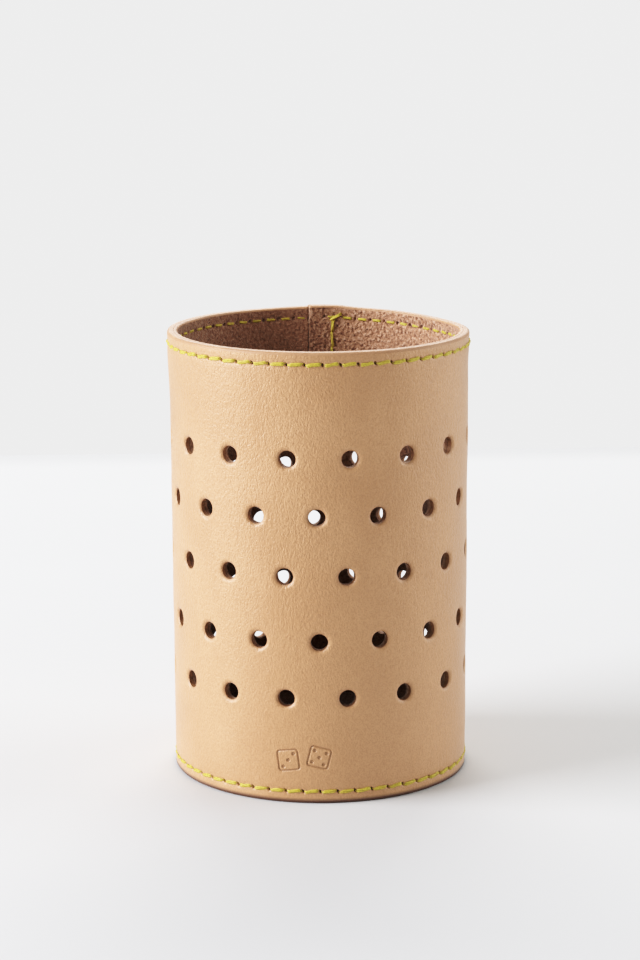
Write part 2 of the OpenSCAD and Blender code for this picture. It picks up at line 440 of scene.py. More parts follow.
# All in mm. A lip is the leather rolled into a punched hole, and a slit is a needle's
LIP_WIDTH = 0.95
LIP_DEPTH = 0.5
LINING_LIP_WIDTH = 0.4
LINING_LIP_DEPTH = 0.2
SLIT_LONG = 0.62
SLIT_WIDE = 0.34
SLIT_LEAN = math.radians(37)
SLIT_DEPTH = 1.0
LAP_HIGH = 0.30
LAP_LONG = 10
LINING_LAP_HIGH = 0.40
LINING_LAP_LONG = 9
MARK_DEPTH = 0.26
MARK_SOFT = 0.22
MARK_CORNER = 0.7
NAP_HIGH = 0.36
# The dice of the mark: x and z from its middle in mm, tilt in degrees, pips in steps from the die's middle
DICE = ((-3.9, -0.4, 8, ((-1, -1), (0, 0), (1, 1))),
        (3.9, 0.5, -14, ((-1, -1), (-1, 1), (0, 0), (1, -1), (1, 1))))


def lips(spots, holes, width, depth):
    """Leather rolled down into the punched holes, and how much each point is part of a lip."""
    gap, _ = nearest(spots, holes)
    near = 1 - np.clip((gap - HOLE_R) / width, 0, 1)
    return -depth * near ** 2, near


def slits(spots, needles):
    """Pits of the slanting needle slits, and how deep in a pit each point is."""
    _, which = nearest(spots, needles)
    away = spots - needles[which]
    long = (-away[:, 0] * math.sin(SLIT_LEAN) + away[:, 1] * math.cos(SLIT_LEAN)) / SLIT_LONG
    wide = (away[:, 0] * math.cos(SLIT_LEAN) + away[:, 1] * math.sin(SLIT_LEAN)) / SLIT_WIDE
    deep = 1 - smooth((np.hypot(long, wide) - 0.35) / 0.75)
    return -SLIT_DEPTH * deep, deep


def groove(spots, height, depth):
    """A shallow furrow pressed along a row of stitches."""
    return -depth * bump_at(spots[:, 1], height, 0.9)


def lap_rise(from_edge):
    """How far the lapping end of the grain leather stands up, by its distance from its edge in mm."""
    return LAP_HIGH * (1 - smooth(from_edge / LAP_LONG))


def turned(x, z, degrees):
    """x and z along axes that are turned by some degrees."""
    a = math.radians(degrees)
    return x * math.cos(a) + z * math.sin(a), -x * math.sin(a) + z * math.cos(a)


def die_line(x, z, pips):
    """Distance in mm from the nearest pressed line or pip of one die, negative inside the pressing."""
    half = (MARK_SIDE - MARK_LINE) / 2
    out_x, out_z = np.abs(x) - half + MARK_CORNER, np.abs(z) - half + MARK_CORNER
    beyond = np.hypot(np.maximum(out_x, 0), np.maximum(out_z, 0))
    square = beyond + np.minimum(np.maximum(out_x, out_z), 0)
    line = np.abs(square - MARK_CORNER) - MARK_LINE / 2
    for px, pz in pips:
        spot = np.hypot(x - px * MARK_SIDE * PIP_SPAN, z - pz * MARK_SIDE * PIP_SPAN) - PIP_R
        line = np.minimum(line, spot)
    return line


def pressed_mark(strip, spots):
    """A pair of dice pressed into the front: the depth, and how much each point is pressed."""
    x = spots[:, 0] - MARK_TURN * strip.per_turn
    z = spots[:, 1] - MARK_Z
    lines = [die_line(*turned(x - right, z - up, tilt), pips) for right, up, tilt, pips in DICE]
    pressed = 1 - smooth(np.minimum(*lines) / MARK_SOFT + 0.5)
    return -MARK_DEPTH * pressed, pressed


def outer_relief(strip, spots):
    """Height of the grain leather's face, and its painted shading: 0 on the plain face, 1 down in a pit,
    where the colour takes painted shade.
    """
    x, z = spots.T
    lip, on_lip = lips(spots, strip.holes, LIP_WIDTH, LIP_DEPTH)
    pit, in_pit = slits(spots, strip.needles)
    mark, pressed = pressed_mark(strip, spots)
    flap = lap_rise(x - strip.x0) - 0.12 * smooth((x - strip.x1 + 4) / 4)
    height = lip + pit + mark + flap + groove(spots, RIM_ROW_Z, 0.12) + groove(spots, BASE_ROW_Z, 0.12)
    height += 0.05 * soft_waves(x, z, reach=34, count=9, seed=5)
    height += 0.018 * soft_waves(x, z, reach=9, count=20, seed=6)
    # Painted shade: darkest down the needle slits, less on the hole lips and in the pressed mark
    painted_shading = np.maximum.reduce([0.3 * on_lip ** 4, in_pit, 0.3 * pressed])
    return height, painted_shading


def lining_relief(strip, spots):
    """Height of the suede's face, and its painted shading: 0 in the nap's pits, which take painted shade,
    and 1 on its tips, which take painted light, and on its pale fuzzy cut end.
    """
    x, z = spots.T
    lip, _ = lips(spots, strip.holes, LINING_LIP_WIDTH, LINING_LIP_DEPTH)
    pit, in_pit = slits(spots, strip.needles)
    nap = crumbs(x, z, size=0.6, seed=3.0)
    ragged = crumbs(x, z, size=0.8, seed=6.0)
    by_rim = smooth((z - CUP_H + 6) / 4)
    from_end = (strip.x1 - x) / (0.3 + 0.9 * by_rim)
    end = np.clip(1 - smooth(from_end) + 0.6 * ragged * (from_end < 1.6), 0, 1) * (0.45 + 0.55 * by_rim)
    lap = LINING_LAP_HIGH * (1 - smooth((strip.x1 - x) / LINING_LAP_LONG))
    brushed = 1 - 0.55 * (1 - smooth((x - strip.x0 - 30) / 45))
    rough = brushed * (0.75 + 0.25 * smooth((z - CUP_H + 30) / 25))
    height = lip + 0.6 * pit + lap + groove(spots, RIM_ROW_Z, 0.15) + groove(spots, BASE_ROW_Z, 0.1)
    height += NAP_HIGH * rough * nap + 0.05 * soft_waves(x, z, reach=20, count=9, seed=8)
    # Painted light on the nap's tips, painted shade in its pits and needle slits, and the pale cut end
    tips = np.clip(0.45 + 0.6 * brushed * nap, 0, 1) * (1 - 0.6 * in_pit)
    return height, np.maximum(0.9 * end, tips)


# Half of the gap in degrees where a strip's two ends meet
END_GAP = 0.06
# How far down from the top the lining's face has finer points, in mm
FINE_NAP = 14


def make_outer_sleeve(materials):
    turns = (LAP_OUTER_EDGE - 360 + END_GAP, LAP_OUTER_EDGE - END_GAP)
    strip = Strip(R_OUT, R_MID, turns, EDGE_R)
    mark_x = MARK_TURN * strip.per_turn
    areas = [(mark_x - 8, mark_x + 8, MARK_Z - 4.6, MARK_Z + 4.6, 0.15),
             (strip.x0, strip.x1, strip.z0, strip.z1, 1.15)]
    piece = strip.build("cup_outer_leather", materials, outer_relief, areas, HOLE_RINGS, 36)
    stand_for(piece, "outer_sleeve")


def make_lining(materials):
    turns = (LAP_INNER_EDGE - 360 + END_GAP, LAP_INNER_EDGE - END_GAP)
    strip = Strip(R_IN, R_MID - 0.02, turns, LINING_EDGE_R)
    areas = [(strip.x0, strip.x1, CUP_H - FINE_NAP, CUP_H, 0.36),
             (strip.x0, strip.x1, strip.z0, CUP_H - FINE_NAP, 0.9)]
    piece = strip.build("cup_lining", materials, lining_relief, areas, LINING_HOLE_RINGS, 28)
    stand_for(piece, "lining_sleeve")


# ---------------------------------------------------------------- base and floor


def lathe(name, profile, count, materials, kind_of, shape):
    """A closed dish from (radius, z) points: shape(cup) adds unevenness to its cup coordinates."""
    turns = np.arange(count) * 360 / count
    cup = shape(np.array([(radius, turn, z) for radius, z in profile for turn in turns]))
    faces = []
    kinds = []
    for row in range(len(profile) - 1):
        for k in range(count):
            j = (k + 1) % count
            here, above = row * count, (row + 1) * count
            faces.append((here + k, here + j, above + j, above + k))
            kinds.append(kind_of(profile[row], profile[row + 1]))
    faces.append(tuple(range(count)))
    kinds.append(kinds[0])
    faces.append(tuple((len(profile) - 1) * count + k for k in range(count)))
    kinds.append(kinds[-2])
    return make_piece(name, cup_xyz(*cup.T), faces, kinds, materials)


def arc(centre, radius, start, end, count):
    """Points round part of a circle, from one angle in degrees to another."""
    angles = np.radians(np.linspace(start, end, count))
    return [(centre[0] + radius * math.cos(a), centre[1] + radius * math.sin(a)) for a in angles]


def straight(start, end, count):
    return [tuple(p) for p in np.linspace(start, end, count)]


# Radius of a dish's surfaces at the middle, where a flat face closes it, in mm
HUB = 0.4
# The visible dish lies this far under its CAD solid's skin, in mm
SKIN = 0.05
FLANGE_EDGE_R = 0.5
R_DISH = R_IN - BASE_T
DISH_UNDER = DISH_TOP - BASE_T
DISH_INNER_BEND = DISH_BEND - BASE_T


def dish_profile():
    """(radius, z) from the middle of the dish, over its bend, down its flange and back underneath."""
    bend_at = (R_IN - DISH_BEND, DISH_TOP - DISH_BEND)
    flat_r = R_IN - DISH_BEND - 0.6
    foot = FLANGE_EDGE_R
    return (
        straight((HUB, DISH_TOP - SKIN), (flat_r, DISH_TOP - SKIN), 40)
        + arc(bend_at, DISH_BEND - SKIN, 90, 0, 8)
        + straight((R_IN - SKIN, DISH_TOP - DISH_BEND - 0.4), (R_IN - SKIN, foot), 5)
        + arc((R_IN - SKIN - foot, foot), foot, 0, -90, 4)
        + arc((R_DISH + foot, foot), foot, -90, -180, 4)
        + straight((R_DISH, 0.8), (R_DISH, DISH_UNDER - DISH_INNER_BEND - 0.4), 9)
        + arc(bend_at, DISH_INNER_BEND, 0, 90, 5)
        + straight((flat_r, DISH_UNDER), (HUB, DISH_UNDER), 44)
    )


def dish_unevenness(cup):
    """Waves under the dish, and dents in the flange where its stitches pull."""
    radius, turn, z = cup.T.copy()
    angle = np.radians(turn)
    x, y = radius * np.sin(angle), radius * np.cos(angle)
    wave = (0.12 * soft_waves(x, y, reach=18, count=8, seed=12)
            + 0.05 * soft_waves(x, y, reach=4, count=18, seed=13))
    below = (z < DISH_TOP - 2 * SKIN) & (radius < R_DISH - 0.5)
    z = z + np.where(below, wave, 0)
    flange = (radius < R_DISH + 0.1) & (z < DISH_UNDER - DISH_INNER_BEND)
    stitch = 2 * math.pi * (turn - BASE_STITCH_TURN) * BASE_STITCHES / 360
    dent = 0.22 * bump_at(z, BASE_ROW_Z, 0.7) * (0.4 + 0.6 * np.cos(stitch / 2) ** 16)
    radius = radius + np.where(flange, dent, 0)
    return np.stack([radius, turn, z], axis=1)


def make_base(materials):
    """The moulded dish, standing on its turned-down flange with its cut edge at the bottom."""

    def kind_of(first, second):
        return CUT_EDGE if max(first[1], second[1]) < 0.9 else FACE

    piece = lathe("cup_base", dish_profile(), 324, materials, kind_of, dish_unevenness)
    stand_for(piece, "base_dish")


def make_floor(materials):
    """The suede disc on the floor, with a matted top."""
    inset = 0.15
    edge = ring((0, 0), R_FLOOR - inset, 220)
    inner = lattice(-R_FLOOR, R_FLOOR, -R_FLOOR, R_FLOOR, 0.62)
    inner = inner[np.hypot(*inner.T) < R_FLOOR - 0.6]
    corners, triangles = triangulate(np.concatenate([edge, inner]), closed(range(len(edge))))
    x, y = corners.T
    lumps = (0.10 * crumbs(x, y, size=1.2, seed=9.0)
             + 0.10 * soft_waves(x, y, reach=24, count=8, seed=14))
    rounding = 0.25 * np.clip((np.hypot(x, y) - R_FLOOR + 0.8) / 0.65, 0, 1) ** 2
    top = np.column_stack([x, y, FLOOR_TOP - 0.12 + lumps - rounding])
    wide = edge * (R_FLOOR / (R_FLOOR - inset))
    sides = [np.column_stack([wide, np.full(len(wide), z)]) for z in (FLOOR_TOP - 0.5, DISH_TOP)]
    faces = list(triangles)
    count = len(edge)
    rows = [0, len(top), len(top) + count]
    for first, second in zip(rows, rows[1:]):
        for k in range(count):
            before = (k - 1) % count
            faces.append((first + before, first + k, second + k, second + before))
    faces.append(range(rows[-1], rows[-1] + count))
    piece = make_piece("cup_floor", np.concatenate([top] + sides), faces, [FACE] * len(faces), materials)
    stand_for(piece, "floor_lining")


# ---------------------------------------------------------------- thread

PLIES = 3
PLY_SIDES = 7
STITCH_RINGS = 17
# Width of a thread and its height off the leather, as shares of a round thread's
FLAT_WIDE = 1.15
FLAT_HIGH = 0.72
# Radius of a ply and of its way round the thread's middle, as shares of the thread's radius
PLY_R = 0.52
PLY_OFF = 0.48
# Radius of a thread before it is flattened, and of one that sinks into the nap, in mm
THREAD_ROUND_R = 0.44
SUNK_R = 0.32
BASE_SUNK_R = 0.36
TIE_R = 0.38
# How far up a stitch leans from its middle to its end: outside, and inside
SLANT_OUTSIDE = 0.23
SLANT_INSIDE = 0.06
# How high over the wall a stitch's ends lie, in mm: sunk into their slits, and resting on the nap
SUNK = -0.95
RESTING = -0.4
R_SEAM_INSIDE = R_IN - 0.2


def yarn(path, twist, phase, size):
    """Points and faces of a twisted yarn along a path of x, y, z in mm, laid on the cup's wall."""
    tangent = np.gradient(path, axis=0)
    tangent /= np.linalg.norm(tangent, axis=1)[:, None]
    outward = path * (1, 1, 0)
    outward /= np.linalg.norm(outward, axis=1)[:, None]
    side = np.cross(tangent, outward)
    side /= np.linalg.norm(side, axis=1)[:, None]
    normal = np.cross(side, tangent) * FLAT_HIGH
    side = side * FLAT_WIDE
    length = np.concatenate([[0], np.cumsum(np.linalg.norm(np.diff(path, axis=0), axis=1))])
    points = []
    faces = []
    around = 2 * math.pi * np.arange(PLY_SIDES) / PLY_SIDES
    for ply in range(PLIES):
        spin = phase + 2 * math.pi * (twist * length + ply / PLIES)
        off = np.cos(spin)[:, None] * normal + np.sin(spin)[:, None] * side
        centre = path + size * PLY_OFF * off
        start = sum(len(p) for p in points)
        round_ply = (np.cos(around)[None, :, None] * normal[:, None, :]
                     + np.sin(around)[None, :, None] * side[:, None, :])
        rings = centre[:, None, :] + size * PLY_R * round_ply
        points.append(rings.reshape(-1, 3))
        for i in range(len(path) - 1):
            for k in range(PLY_SIDES):
                a, b = start + i * PLY_SIDES, start + (i + 1) * PLY_SIDES
                j = (k + 1) % PLY_SIDES
                faces.append((a + k, a + j, b + j, b + k))
        faces.append(tuple(start + k for k in range(PLY_SIDES)))
        faces.append(tuple(start + (len(path) - 1) * PLY_SIDES + k for k in range(PLY_SIDES)))
    return np.concatenate(points), faces


def stitch_path(face_r, out, start, end, high, sag=SUNK):
    """A stitch between two (turn, z) places, high off the face along its middle and sag at its ends."""
    t = np.linspace(-1, 1, STITCH_RINGS)
    # The rings lie closer together at the ends, where the thread bends
    t = (t * (1.45 - 0.45 * t * t) + 1) / 2
    height = sag + (high - sag) * (1 - np.abs(2 * t - 1) ** 8)
    turn = start[0] + (end[0] - start[0]) * t
    z = start[1] + (end[1] - start[1]) * t
    return cup_xyz(face_r + out * height, turn, z)


def make_thread(name, node, paths, material, seed, size=THREAD_ROUND_R):
    """One thread's stitches joined into a piece. size is the thread's radius before it is flattened."""
    rng = np.random.default_rng(seed)
    points = []
    faces = []
    total = 0
    for path in paths:
        twist = rng.uniform(0.07, 0.12)
        made, corners = yarn(path, twist, rng.uniform(0, 2 * math.pi), size)
        faces += [tuple(v + total for v in face) for face in corners]
        points.append(made)
        total += len(made)
    piece = make_piece(name, np.concatenate(points), faces, [FACE] * len(faces), [material])
    stand_for(piece, node)


def row_paths(needles, face_r, out, slant, gap, high, seed):
    """Stitches round a row, each leaning up towards its further turn, none quite alike."""
    rng = np.random.default_rng(seed)
    paths = []
    step = 360 / len(needles)
    gap = math.degrees(gap / face_r)
    for turn, z in needles:
        jitter = rng.normal(0, 0.05, 3)
        from_edge = math.radians((turn + step / 2 - LAP_OUTER_EDGE) % 360) * face_r
        lift = float(lap_rise(from_edge)) if out > 0 else 0
        start = (turn + gap, z - slant + jitter[0])
        end = (turn + step - gap, z + slant + jitter[1])
        paths.append(stitch_path(face_r + lift, out, start, end, high + jitter[2]))
    return paths


def seam_paths(face_r, out, high, gap, sag, seed):
    """Stitches up the seam, end to end, each with a slight lean."""
    rng = np.random.default_rng(seed)
    paths = []
    for (turn, low), (_, top) in zip(SEAM_NEEDLES, SEAM_NEEDLES[1:]):
        lean = rng.normal(0.2, 0.1)
        start, end = (turn - lean, low + gap), (turn + lean, top - gap)
        paths.append(stitch_path(face_r, out, start, end, high, sag))
    return paths


def tie_off_paths():
    """The seam's thread goes up inside to the rim's row and is looped round it."""
    rise = stitch_path(R_SEAM_INSIDE, -1, (SEAM_LINE, SEAM_HIGH + 0.1),
                       (SEAM_LINE - 0.5, RIM_ROW_Z - 0.1), 0.2, RESTING)
    loop = stitch_path(R_SEAM_INSIDE, -1, (SEAM_LINE + 0.9, RIM_ROW_Z - 0.9),
                       (SEAM_LINE - 3.8, RIM_ROW_Z + 1.0), 0.5)
    return [rise, loop]


def make_threads(material):
    """Outside, the stitches lie proud and slanting; inside, they are pulled down into the nap."""
    make_thread("rim_thread_outside", "rim_outer_thread",
                row_paths(RIM_NEEDLES, R_OUT, 1, SLANT_OUTSIDE, 0.36, -0.05, 21), material, 31)
    make_thread("rim_thread_inside", "rim_inner_thread",
                row_paths(RIM_NEEDLES, R_IN, -1, SLANT_INSIDE, 0.75, -0.05, 22), material, 32, SUNK_R)
    make_thread("base_thread_outside", "base_outer_thread",
                row_paths(BASE_NEEDLES, R_OUT, 1, SLANT_OUTSIDE, 0.36, -0.05, 23), material, 33)
    make_thread("base_thread_inside", "base_inner_thread",
                row_paths(BASE_NEEDLES, R_DISH, -1, SLANT_INSIDE, 0.6, 0.0, 24), material, 34, BASE_SUNK_R)
    make_thread("seam_thread_outside", "seam_outer_thread",
                seam_paths(R_OUT + 0.25, 1, -0.05, 0.25, SUNK, 25), material, 35)
    make_thread("seam_thread_inside", "seam_inner_thread",
                seam_paths(R_SEAM_INSIDE, -1, 0.2, 0.0, RESTING, 26), material, 36, SUNK_R)
    make_thread("seam_tie_off_loop", "seam_tie_off", tie_off_paths(), material, 37, TIE_R)


# ---------------------------------------------------------------- materials


class Nodes:
    """A material's node tree, with short calls to add to it."""

    def __init__(self, name):
        self.material = bpy.data.materials.new(name)
        self.material.use_nodes = True
        self.tree = self.material.node_tree
        self.shader = self.tree.nodes["Principled BSDF"]
        coords = self.add("ShaderNodeTexCoord")
        self.place = coords.outputs["Object"]

    def add(self, kind, **settings):
        node = self.tree.nodes.new(kind)
        for key, value in settings.items():
            setattr(node, key, value)
        return node

    def link(self, source, target):
        self.tree.links.new(source, target)

    def fill(self, socket, value):
        """Sets a socket's value, or links it if the value is another socket."""
        if isinstance(value, bpy.types.NodeSocket):
            self.link(value, socket)
        else:
            socket.default_value = value

    def stretched(self, x, y, z):
        """Object coordinates, scaled per axis, in features per metre."""
        node = self.add("ShaderNodeMapping")
        self.link(self.place, node.inputs["Vector"])
        node.inputs["Scale"].default_value = (x, y, z)
        return node.outputs["Vector"]

    def even(self, per_metre):
        """Object coordinates with the same number of features per metre each way."""
        return self.stretched(per_metre, per_metre, per_metre)

    def noise(self, place, detail=3.0, rough=0.5, distortion=0.0):
        node = self.add("ShaderNodeTexNoise")
        self.link(place, node.inputs["Vector"])
        node.inputs["Scale"].default_value = 1.0
        node.inputs["Detail"].default_value = detail
        node.inputs["Roughness"].default_value = rough
        node.inputs["Distortion"].default_value = distortion
        return node.outputs["Fac"]

    def cells(self, place):
        """Distance from the edges of a net of rounded cells."""
        node = self.add("ShaderNodeTexVoronoi", feature="DISTANCE_TO_EDGE")
        self.link(place, node.inputs["Vector"])
        node.inputs["Scale"].default_value = 1.0
        return node.outputs["Distance"]

    def remap(self, value, low, high, to_low=0.0, to_high=1.0):
        """Changes smoothly from to_low to to_high as a value goes from low to high."""
        node = self.add("ShaderNodeMapRange", interpolation_type="SMOOTHSTEP")
        self.link(value, node.inputs["Value"])
        node.inputs["From Min"].default_value = low
        node.inputs["From Max"].default_value = high
        node.inputs["To Min"].default_value = to_low
        node.inputs["To Max"].default_value = to_high
        return node.outputs["Result"]

    def math(self, operation, first, second):
        node = self.add("ShaderNodeMath", operation=operation)
        self.fill(node.inputs[0], first)
        self.fill(node.inputs[1], second)
        return node.outputs["Value"]

    def mix(self, factor, first, second):
        node = self.add("ShaderNodeMix", data_type="RGBA")
        self.fill(node.inputs["Factor"], factor)
        self.fill(node.inputs["A"], first)
        self.fill(node.inputs["B"], second)
        return node.outputs["Result"]

    def along(self, axis, start, end, from_value, to_value):
        """Changes from one value to another between two places on an axis, in metres."""
        split = self.add("ShaderNodeSeparateXYZ")
        self.link(self.place, split.inputs["Vector"])
        return self.remap(split.outputs[axis], start, end, from_value, to_value)

    def painted_shading(self):
        """The mesh's own record of how sunk or raised each point is, used for painted shade and painted
        light.
        """
        return self.add("ShaderNodeAttribute", attribute_name="painted_shading").outputs["Fac"]

    def bump(self, height, distance, strength, normal=None):
        node = self.add("ShaderNodeBump")
        self.link(height, node.inputs["Height"])
        node.inputs["Distance"].default_value = distance
        node.inputs["Strength"].default_value = strength
        if normal is not None:
            self.link(normal, node.inputs["Normal"])
        return node.outputs["Normal"]

    def finish(self, colour, roughness, normal, specular=0.5, sheen=0.0, sheen_rough=0.5):
        self.fill(self.shader.inputs["Base Color"], colour)
        self.fill(self.shader.inputs["Roughness"], roughness)
        self.link(normal, self.shader.inputs["Normal"])
        self.shader.inputs["Specular IOR Level"].default_value = specular
        self.shader.inputs["Sheen Weight"].default_value = sheen
        self.shader.inputs["Sheen Roughness"].default_value = sheen_rough
        return self.material


def rgb(r, g, b):
    return (r, g, b, 1.0)


GRAIN_DARK = rgb(0.520, 0.281, 0.130)
GRAIN_MIDDLE = rgb(0.552, 0.305, 0.144)
GRAIN_LIGHT = rgb(0.592, 0.333, 0.164)
# Painted shade in the troughs of the grain's wrinkles and pebble
GRAIN_CREASE_SHADE = rgb(0.410, 0.208, 0.086)
# Painted shade down the needle slits, on the hole lips and in the pressed mark
GRAIN_PIT_SHADE = rgb(0.10, 0.04, 0.015)
# Burnish and painted shade along the bottom edge, where it meets the table
BURNISH_AND_CONTACT_SHADE = rgb(0.10, 0.04, 0.018)
PAINT_DARK = rgb(0.44, 0.240, 0.128)
PAINT_LIGHT = rgb(0.51, 0.290, 0.158)
CUT_DARK = rgb(0.24, 0.12, 0.055)
CUT_LIGHT = rgb(0.38, 0.20, 0.10)
GLUED_DARK = rgb(0.25, 0.13, 0.07)
GLUED_LIGHT = rgb(0.34, 0.19, 0.11)
# Painted shade in the nap's pits and painted light on its tips
NAP_PIT_SHADE = rgb(0.19, 0.085, 0.045)
NAP_MIDDLE = rgb(0.48, 0.265, 0.16)
NAP_TIP_LIGHT = rgb(0.76, 0.51, 0.36)
NAP_PATCH = rgb(0.42, 0.235, 0.14)
NAP_FIBRE = rgb(0.74, 0.51, 0.37)
# Painted shade deep inside the cup
NAP_SHADE_DEEP = rgb(0.10, 0.045, 0.022)
# Painted shade on the left of the inside, away from the window's light
NAP_SHADE_LEFT = rgb(0.14, 0.065, 0.035)
FUZZ_DARK = rgb(0.55, 0.36, 0.23)
FUZZ_LIGHT = rgb(0.74, 0.54, 0.39)
# The lining's cut edge, darker in patches and lower down
FUZZ_DIM = rgb(0.26, 0.14, 0.08)
FLESH_DARK = rgb(0.50, 0.30, 0.16)
FLESH_LIGHT = rgb(0.60, 0.38, 0.21)
# Painted shade in the hollows between the flesh side's fibres
FLESH_HOLLOW_SHADE = rgb(0.36, 0.20, 0.10)
THREAD_DARK = rgb(0.46, 0.36, 0.05)
THREAD_LIGHT = rgb(0.62, 0.52, 0.09)
THREAD_DIRT = rgb(0.50, 0.34, 0.08)
TABLE_DARK = rgb(0.655, 0.655, 0.650)
TABLE_LIGHT = rgb(0.670, 0.670, 0.665)
# Painted shade along the table's far edge
TABLE_EDGE_SHADE = rgb(0.45, 0.45, 0.45)


def burnish_and_contact_shade(n, base):
    """A colour, darkened along the bottom edge: burnish where the cup rubs on the table, and painted shade
    where the edge meets the table.
    """
    return n.mix(n.along("Z", 0.0005, 0.0016, 0.95, 0.0), base, BURNISH_AND_CONTACT_SHADE)


def grain_leather():
    """Smooth vegetable-tanned leather: mottled tan, fine wavy wrinkles that run up it, satin wax."""
    n = Nodes("grain_leather")
    mottle = n.noise(n.stretched(60, 60, 45), detail=4, rough=0.55)
    clouds = n.noise(n.stretched(16, 16, 12), detail=2)
    wrinkles = n.noise(n.stretched(1550, 1550, 900), detail=1, rough=0.4, distortion=0.5)
    pebble = n.noise(n.stretched(3000, 3000, 2400), detail=1, rough=0.5)
    cells = n.cells(n.stretched(1500, 1500, 900))
    base = n.mix(n.remap(mottle, 0.3, 0.7), GRAIN_DARK, GRAIN_LIGHT)
    base = n.mix(n.remap(clouds, 0.35, 0.65, 0.0, 0.5), base, GRAIN_MIDDLE)
    # Painted shade in the troughs of the wrinkles and of the pebble grain
    base = n.mix(n.remap(wrinkles, 0.25, 0.45, 0.25, 0.0), base, GRAIN_CREASE_SHADE)
    base = n.mix(n.remap(pebble, 0.35, 0.6, 0.45, 0.0), base, GRAIN_CREASE_SHADE)
    # Painted shade down the needle slits, on the hole lips and in the pressed mark, and burnish with
    # painted shade along the bottom edge
    base = n.mix(n.painted_shading(), burnish_and_contact_shade(n, base), GRAIN_PIT_SHADE)
    rough = n.remap(mottle, 0.2, 0.8, 0.42, 0.54)
    creased = n.math("ADD", n.remap(wrinkles, 0.25, 0.75), n.remap(cells, 0.0, 0.2, 0.0, 0.5))
    fading = n.math("MULTIPLY", creased, n.along("Z", 0.0, 0.07, 0.45, 1.0))
    normal = n.bump(pebble, 0.00006, 0.7, n.bump(fading, 0.00006, 0.95))
    return n.finish(base, rough, normal, specular=0.9, sheen=0.32, sheen_rough=0.45)


def painted_rim():
    """Clear edge paint over the rim and the bottom edge: the wall's tan, a little pinker."""
    n = Nodes("painted_rim")
    mottle = n.noise(n.even(140), detail=3)
    grit = n.noise(n.even(1300), detail=3)
    pebble = n.noise(n.even(2200), detail=1)
    base = n.mix(n.remap(mottle, 0.3, 0.7), PAINT_DARK, PAINT_LIGHT)
    # Painted shade in the pebble's troughs
    base = n.mix(n.remap(pebble, 0.35, 0.6, 0.35, 0.0), base, GRAIN_CREASE_SHADE)
    normal = n.bump(grit, 0.00006, 0.6, n.bump(pebble, 0.00008, 0.8))
    # Burnish and painted shade along the bottom edge
    return n.finish(burnish_and_contact_shade(n, base), 0.55, normal, specular=0.6, sheen=0.08)


def cut_leather():
    """Cut edge inside the holes: darker, with faint layers."""
    n = Nodes("cut_leather")
    layers = n.noise(n.even(900), detail=3)
    base = n.mix(n.remap(layers, 0.3, 0.7), CUT_DARK, CUT_LIGHT)
    normal = n.bump(layers, 0.0001, 0.6)
    return n.finish(base, 0.6, normal)


def leather_back():
    """Glued flesh side between the layers."""
    n = Nodes("leather_back")
    fibres = n.noise(n.even(800), detail=4)
    base = n.mix(n.remap(fibres, 0.3, 0.7), GLUED_DARK, GLUED_LIGHT)
    return n.finish(base, 0.9, n.bump(fibres, 0.0002, 0.7))


def suede():
    """Suede lining: matted nap with painted shade in its pits and painted light on its tips, and painted
    shade down inside the cup and on the left, which the window does not light.
    """
    n = Nodes("suede")
    lumps = n.noise(n.even(1300), detail=4, rough=0.6)
    fibres = n.noise(n.stretched(3000, 3000, 1700), detail=3, rough=0.6, distortion=1.0)
    patches = n.noise(n.even(45), detail=3)
    # Painted light on the nap's tips and painted shade in its pits and in the hollows between its lumps
    tips = n.math("ADD", n.painted_shading(), n.remap(lumps, 0.25, 0.75, -0.35, 0.35))
    base = n.mix(n.remap(tips, 0.0, 0.5), NAP_PIT_SHADE, NAP_MIDDLE)
    base = n.mix(n.remap(tips, 0.45, 0.95), base, NAP_TIP_LIGHT)
    base = n.mix(n.remap(patches, 0.35, 0.65, 0.0, 0.25), base, NAP_PATCH)
    base = n.mix(n.remap(fibres, 0.5, 0.75, 0.0, 0.35), base, NAP_FIBRE)
    # Painted shade deeper down inside the cup, fading out by 90 mm up
    base = n.mix(n.along("Z", 0.050, 0.090, 0.6, 0.0), base, NAP_SHADE_DEEP)
    # Painted shade on the left of the inside, which the window at the left does not light
    base = n.mix(n.along("X", -0.016, 0.018, 0.42, 0.0), base, NAP_SHADE_LEFT)
    normal = n.bump(fibres, 0.00015, 0.8, n.bump(lumps, 0.0005, 1.0))
    return n.finish(base, 0.95, normal, specular=0.15, sheen=0.4)


def suede_edge():
    """Cut edge of the lining: pale and fuzzy by the rim, darker in patches and lower down."""
    n = Nodes("suede_edge")
    fibres = n.noise(n.even(1200), detail=4)
    gaps = n.noise(n.even(400), detail=2)
    base = n.mix(n.remap(fibres, 0.3, 0.7), FUZZ_DARK, FUZZ_LIGHT)
    # Darker in patches and below 106 to 111 mm up
    dimmed = n.math("ADD", n.remap(gaps, 0.35, 0.6, 0.0, 0.4), n.along("Z", 0.106, 0.111, 0.6, 0.0))
    base = n.mix(dimmed, base, FUZZ_DIM)
    return n.finish(base, 0.9, n.bump(fibres, 0.0002, 0.7), specular=0.2, sheen=0.3)


def base_leather():
    """Flesh side of the moulded base, seen from below."""
    n = Nodes("base_leather")
    fibres = n.noise(n.even(900), detail=5, rough=0.6, distortion=0.6)
    patches = n.noise(n.even(60), detail=3)
    base = n.mix(n.remap(patches, 0.3, 0.7), FLESH_DARK, FLESH_LIGHT)
    # Painted shade in the hollows between the fibres
    base = n.mix(n.remap(fibres, 0.3, 0.55, 0.4, 0.0), base, FLESH_HOLLOW_SHADE)
    return n.finish(base, 0.65, n.bump(fibres, 0.0002, 0.7), specular=0.35)


